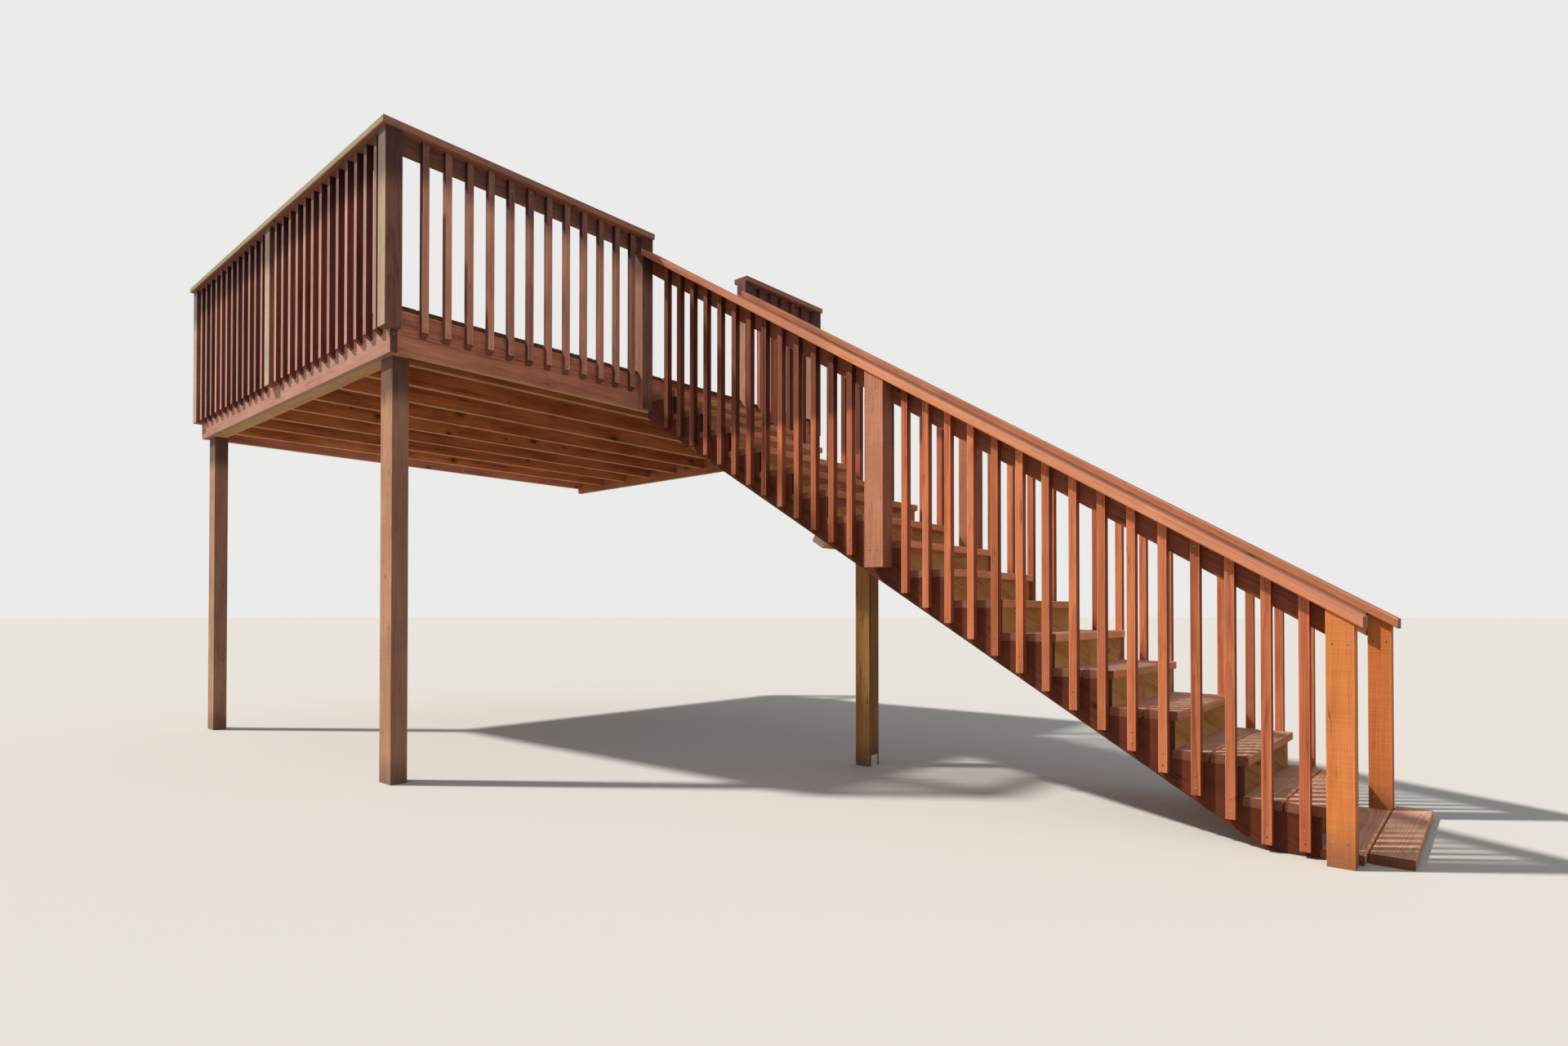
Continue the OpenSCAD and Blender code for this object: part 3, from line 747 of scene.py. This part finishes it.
# the post tops are painted darker as shade under the frame, and the sides away from the key darker
# as shade
wood(["deck_posts"], "Z", "X", (0.70, 0.41, 0.26), (0.42, 0.20, 0.12), seed=8.0, knots=0.4,
     cracks=0.4, saw=0.3, shade=0.45, sheltered=0.26, splash=0.4)
wood(["decking"], "X", "Y", (0.34, 0.17, 0.11), (0.17, 0.075, 0.048), seed=15.0, knots=0.8,
     top=0.8, variety=0.4, under=(0.40, 0.20, 0.10))

# %% [markdown]
# ### The flight
# The near stringer has a dark stain, and its colour is darkened further to almost black-brown as
# painted shade, for the shadow that its balusters cast on it. The two behind it are bare yellow
# pine. The undersides of all three are painted paler for light bounced up from the ground. The
# treads are worn to grey-brown by shoes, with rubbed edges, brighter fronts and dark ends.

# %% The flight
# a dark stain made darker still, as painted shade from the balusters
wood(["stringer_near"], "X", "", (0.125, 0.032, 0.016), (0.058, 0.013, 0.0065), seed=16.0,
     knots=0.8, ring=0.008, clouds=1.4, under=BOUNCE_UNDERSIDE, angle=SLOPE)
wood(["stringer_middle", "stringer_far"], "X", "Y", (0.95, 0.60, 0.26), (0.66, 0.34, 0.11),
     seed=17.0, knots=1.0, ring=0.008, clouds=1.3, under=BOUNCE_UNDERSIDE, shade=0.0, angle=SLOPE)
wood(["stair_cleat"], "Y", "", (0.80, 0.55, 0.34), (0.52, 0.30, 0.16), seed=18.0,
     ends=(0.85, 0.62, 0.42), shade=0.0)
wood(["stair_prop"], "Z", "", (0.72, 0.39, 0.125), (0.38, 0.18, 0.052), seed=19.0,
     streaks=0.7, cracks=1.0, shade=0.5, splash=0.5)
wood(TREADS, "Y", "X", (0.70, 0.31, 0.175), (0.37, 0.14, 0.075), seed=27.0, knots=0.8,
     top=0.8, wear=0.8, variety=0.35, bleach=(0.70, 0.43, 0.31), skirt=(0.84, 0.42, 0.23),
     ends=(0.20, 0.075, 0.05), shade=0.0, stairs=(RISER, GOING, GROUND - 0.02))

# %% [markdown]
# ## Metal
# The shoe under the prop and its bolts are galvanised. Zinc sets in flat crystals that reflect a
# little differently, which a Voronoi pattern gives, and it dulls in grey patches. The nails have
# lost their zinc: their heads are dull grey-brown, with rust that noise spreads over some of
# them.

# %% Zinc and weathered nails
FLAKES, DULL_BLOTS, RUST_BLOTS = 160.0, 30.0, 90.0  # in a metre

ZINC, g = new_material("zinc")
x, y, z = g.coordinates()
crystals = {"Vector": g.vector(x, y, z), "Scale": FLAKES}
flake = g.split(g.add("ShaderNodeTexVoronoi", None, crystals, 1))[0]
dull = g.noise(x * DULL_BLOTS, y * DULL_BLOTS, z * DULL_BLOTS, 4.0)
tint = g.mix(g.fade(dull, 0.5, 0.75), (0.50, 0.51, 0.52), (0.30, 0.26, 0.23))
tint = g.shade(tint, 0.8 + flake * 0.25)
finish(g, tint, 0.45 + dull * 0.3, dull * 0.3 + flake * 0.1, 0.0004, Metallic=0.85)
give("prop_shoe", ZINC)

NAIL, g = new_material("weathered_nail")
x, y, z = g.coordinates()
rust = g.fade(g.noise(x * RUST_BLOTS, y * RUST_BLOTS, z * RUST_BLOTS, 3.0), 0.40, 0.62)
tint = g.mix(rust, (0.34, 0.31, 0.28), (0.12, 0.055, 0.03))
finish(g, tint, 0.5 + rust * 0.3, rust, 0.0003, Metallic=0.6)
print("metals:", ZINC.name, "and", NAIL.name)

# %% [markdown]
# ## Nail heads
# Every board is nailed, two heads at each crossing. A head is a low dome: a profile of radius and
# height, turned about the nail's axis in eight steps. A sphere that is squashed would do too, but
# it has many faces for something this small. One object holds all the heads of a group, and each
# stands on the face that it was driven through, at a place measured from the boards.

# %% Turned heads
SIDES = 8
DOME = np.array([(1.0, -0.5), (1.0, 0.35), (0.62, 0.85)])  # in radii and heights of a head


def put(name, data):
    """An object at the origin that holds a mesh, a lamp or a camera."""
    thing = bpy.data.objects.new(name, data)
    bpy.context.scene.collection.objects.link(thing)
    return thing


def heads(name, places, axis, sign, radius=0.0036, height=0.0012, metal=NAIL):
    """Puts a turned head at every place. A corner is place + r cos t, r sin t across the axis and
    h along it, for the (r, h) pairs of a profile and t in eight steps round. The profile starts
    inside the wood and ends on the crown, and both ends are closed by a fan to their middle."""
    places = np.asarray(places, float).reshape(-1, 3)
    profile = DOME * (radius, height)
    turn = np.arange(SIDES) * (2 * math.pi / SIDES)
    round_it, crown = len(DOME) * SIDES, (len(DOME) - 1) * SIDES
    i = "XYZ".index(axis)
    shape = np.zeros((round_it + 2, 3))
    shape[:round_it, (i + 1) % 3] = (profile[:, :1] * np.cos(turn)).ravel()
    shape[:round_it, (i + 2) % 3] = (profile[:, :1] * np.sin(turn)).ravel() * sign
    shape[:round_it, i] = np.repeat(profile[:, 1], SIDES) * sign
    shape[round_it:, i] = height * sign, profile[0, 1] * sign
    a = np.arange(SIDES)
    b = (a + 1) % SIDES
    top, bottom = np.full(SIDES, round_it), np.full(SIDES, round_it + 1)
    walls = [np.stack([a + r, b + r, b + r + SIDES, a + r + SIDES], 1)
             for r in range(0, crown, SIDES)]
    fans = [np.stack([a + crown, b + crown, top], 1), np.stack([b, a, bottom], 1)]
    start = (np.arange(len(places)) * len(shape))[:, None, None]
    faces_of_4 = (np.concatenate(walls) + start).reshape(-1, 4).tolist()
    faces_of_3 = (np.concatenate(fans) + start).reshape(-1, 3).tolist()
    mesh = bpy.data.meshes.new(name)
    corners = (places[:, None] + shape).reshape(-1, 3)
    mesh.from_pydata(corners.tolist(), [], faces_of_4 + faces_of_3)
    mesh.materials.append(metal)
    piece = put(name, mesh)
    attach(piece, "root")
    print(name, len(places), "heads")


# %% [markdown]
# ### Balusters
# A baluster is nailed to the deck's frame or the stringer at its foot and to the sub-rail at its
# top, always through its outer face. On the flight its top is cut on the rake, so the nails are
# measured down from the middle of that cut.

# %% Nails in the balusters
LEVEL_FOOT, RAKED_FOOT, TOP = (0.045, 0.090), (0.03, 0.08), (0.025, 0.065)  # metres from an end


def baluster_nails(node, axis, sign, fall=0.0, foot=LEVEL_FOOT):
    """Two heads near each foot and two near each top, on the outer face of every baluster."""
    boxes = board_boxes([node])
    i = "XYZ".index(axis)
    x, y, _ = middles(boxes).T
    lowest, highest = boxes[:, 0, 2], boxes[:, 1, 2]
    half = (boxes[:, 1, 0] - boxes[:, 0, 0]) / 2
    heights = [lowest + rise for rise in foot] + [highest - half * fall - drop for drop in TOP]
    places = np.concatenate([np.column_stack([x, y, height]) for height in heights])
    outer = boxes[:, 1, i] if sign > 0 else boxes[:, 0, i]
    places[:, i] = np.tile(outer, len(heights))
    heads("nails_" + node, places, axis, sign)


baluster_nails("balusters_front", "Y", -1)
baluster_nails("balusters_left", "X", -1)
baluster_nails("balusters_right", "X", 1)
baluster_nails("balusters_short", "X", 1)
baluster_nails("balusters_near", "Y", -1, math.tan(RAKE), RAKED_FOOT)
baluster_nails("balusters_far", "Y", 1, math.tan(RAKE), RAKED_FOOT)

# %% [markdown]
# ### Posts, decking and treads
# The flight's posts are held by pairs of larger nails low down and under the cap. A deck board
# has two nails over each joist and rim, and a tread two over each stringer that it reaches.

# %% Nails in the flight's posts
PAIR, ABOVE_FOOT, BELOW_TOP = 0.024, 0.09, 0.13  # metres: half the pair's width, and its places

posts = board_boxes(["flight_posts", "newels"])
places = [(middle[0] + aside, box[0][1], height) for box, middle in zip(posts, middles(posts))
          for aside in (-PAIR, PAIR)
          for height in (box[0][2] + ABOVE_FOOT, box[1][2] - BELOW_TOP)]
heads("nails_flight_posts", places, "Y", -1, radius=0.0046)

# %% Nails in the decking
DECK_EDGE = 0.03  # metres from a nail to the board's edge

joist_x = middles(board_boxes(["joists"]))[:, 0]
rim_x = middles(board_boxes(["side_rims"]))[:, 0]
across_deck = np.concatenate([joist_x, rim_x])
places = [(px, py, box[1][2]) for box in board_boxes(["decking"]) for px in across_deck
          for py in (box[0][1] + DECK_EDGE, box[1][1] - DECK_EDGE)]
heads("nails_decking", places, "Z", 1, radius=0.0042, height=0.0010)

# %% Nails in the treads
TREAD_EDGE, COVERED = 0.035, 0.02  # metres: to the edge, and past the middle of a stringer
STRINGERS = "stringer_near", "stringer_middle", "stringer_far"

stringer_y = [(low[1] + high[1]) / 2 for low, high in map(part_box, STRINGERS)]
places = [(px, py, box[1][2]) for box in board_boxes(TREADS) for py in stringer_y
          for px in (box[0][0] + TREAD_EDGE, box[1][0] - TREAD_EDGE)
          if box[0][1] < py - COVERED]
heads("nails_treads", places, "Z", 1, radius=0.0045, height=0.0012)

# %% [markdown]
# ### Fascia, rims and shoe
# The fascia is nailed over every joist and rim. Each side of the frame shows heads in the middle
# of its rim, and at both of its corners in the board that the rim butts against. The shoe holds
# its prop by two bolts on each side, whose domed heads are the same turned shape at another size.

# %% Nails in the fascia and the rims
HALF_BOARD, ABOVE_EDGE, BELOW_MIDDLE = 0.019, 0.035, 0.02  # metres

low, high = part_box("front_fascia")
heights = low[2] + ABOVE_EDGE, (low[2] + high[2]) / 2 - BELOW_MIDDLE
places = [(px, low[1], pz) for px in across_deck for pz in heights]
heads("nails_fascia", places, "Y", -1)
low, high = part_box("side_rims")
along_rim = low[1] - HALF_BOARD, high[1] + HALF_BOARD, (low[1] + high[1]) / 2
spots = [(py, pz) for py in along_rim for pz in heights]
heads("nails_rim_right", [(high[0], py, pz) for py, pz in spots], "X", 1)
heads("nails_rim_left", [(low[0], py, pz) for py, pz in spots], "X", -1)

# %% The bolts of the shoe
BOLT = dict(radius=0.0085, height=0.005, metal=ZINC)
ASIDE, BELOW_RIM = 0.016, 0.022  # metres from the shoe's middle, and from its upper edge

low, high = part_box("prop_shoe")
spots = [((low[1] + high[1]) / 2 + aside, high[2] - BELOW_RIM) for aside in (-ASIDE, ASIDE)]
heads("bolts_shoe_out", [(high[0], py, pz) for py, pz in spots], "X", 1, **BOLT)
heads("bolts_shoe_in", [(low[0], py, pz) for py, pz in spots], "X", -1, **BOLT)

# %% [markdown]
# ## Studio
# A plain pale floor, one soft key light from the front left and an even world. A large flat disc
# does for a floor, since nothing is seen of its edge. The world and the floor show the camera a
# pale backdrop, but light the object less than they show, so that sides turned away from the key
# stay in gentle shade. Light Path tells the two kinds of rays apart.

# %% What is seen and what gives light
def background_rays(g):
    """1 for rays from the camera, a mirror or glass, and 0 for those that light other surfaces."""
    path = g.add("ShaderNodeLightPath").socket.node
    camera_ray, glossy, glass = (Value(g, path.outputs["Is %s Ray" % kind])
                                 for kind in ("Camera", "Glossy", "Transmission"))
    return g.math("MINIMUM", camera_ray + glossy + glass, 1.0)


def seen_and_lighting(g, shader, output, seen, lighting):
    """Mixes two shaders of one kind by the kind of ray, and joins them to the output."""
    lighting, seen = g.add(shader, None, lighting), g.add(shader, None, seen)
    both = g.add("ShaderNodeMixShader", None, {0: background_rays(g), 1: lighting, 2: seen})
    g.add(output, None, {"Surface": both})


# %% Floor
FLOOR_RADIUS, FLOOR_SIDES = 150.0, 96

turn = np.linspace(0.0, 2 * math.pi, FLOOR_SIDES, endpoint=False)
rim = np.stack([FLOOR_RADIUS * np.cos(turn), FLOOR_RADIUS * np.sin(turn),
                np.full(FLOOR_SIDES, GROUND)], axis=1)
disc = bpy.data.meshes.new("floor")
disc.from_pydata(rim.tolist(), [], [list(range(FLOOR_SIDES))])
floor = put("floor", disc)
material, g = new_material("floor_pale")
seen_and_lighting(g, "ShaderNodeBsdfDiffuse", "ShaderNodeOutputMaterial",
                  seen={"Color": (0.62, 0.61, 0.59, 1.0)},
                  lighting={"Color": (0.40, 0.38, 0.34, 1.0)})
disc.materials.append(material)
print("floor at", round(GROUND, 3), "with", FLOOR_SIDES, "sides")

# %% World
world = bpy.data.worlds.new("studio")
bpy.context.scene.world = world
world.use_nodes = True
seen_and_lighting(Graph(world.node_tree), "ShaderNodeBackground", "ShaderNodeOutputWorld",
                  seen={"Color": (0.83, 0.83, 0.82, 1), "Strength": 1.0},
                  lighting={"Color": (0.93, 0.95, 0.98, 1), "Strength": 0.43})
print("world:", world.name)

# %% [markdown]
# ## Key light
# A sun lamp lights a tall object evenly from top to foot, which an area lamp close by would not.
# Its few degrees of width soften the shadows of the railings.

# %% Key light
SHINES_TOWARDS = Vector((1.3, 1.0, -1.8))

key = bpy.data.lights.new("key", "SUN")
key.energy = 3.9
key.angle = math.radians(3.0)
key.color = (1.0, 0.95, 0.86)
lamp = put("key", key)
lamp.rotation_mode = "QUATERNION"
lamp.rotation_quaternion = SHINES_TOWARDS.to_track_quat("-Z", "Y")
high = math.atan2(-SHINES_TOWARDS.z, SHINES_TOWARDS.xy.length)
print("the key stands", round(math.degrees(high)), "degrees high")

# %% [markdown]
# ## Camera
# The camera stands low in front of the foot of the flight and looks back up at the deck, as the
# photograph does. Its lens, place and small shift were solved from the object's own edges, which
# gives all the proportions at once and needs no trying.

# %% Camera
WIDE, TALL = 1920, 1281  # the frame, in pixels
FOCUS, CENTRE_X, CENTRE_Y = 1009.25, 977.4, 739.2  # the lens and its middle, in pixels
EYE = (6.209, -5.493, -1.477)
HEADING, TILT = math.atan2(0.751, -0.656) - 0.011, 0.010  # radians
SENSOR = 36.0  # millimetres

camera = bpy.data.cameras.new("camera")
viewer = put("camera", camera)
bpy.context.scene.camera = viewer
forward = Vector((math.cos(HEADING) * math.cos(TILT), math.sin(HEADING) * math.cos(TILT),
                  math.sin(TILT)))
right = Vector((math.sin(HEADING), -math.cos(HEADING), 0.0))
turned = Matrix((right, right.cross(forward), -forward)).transposed().to_4x4()
viewer.matrix_world = Matrix.Translation(EYE) @ turned
camera.sensor_width = SENSOR
camera.lens = FOCUS / WIDE * SENSOR
camera.shift_x = (WIDE / 2 - CENTRE_X) / WIDE
camera.shift_y = (CENTRE_Y - TALL / 2) / WIDE
camera.clip_end = 200.0
bpy.context.scene.view_settings.view_transform = "Standard"
print("camera", round(EYE[2] - GROUND, 2), "m above the ground, lens", round(camera.lens, 1), "mm")
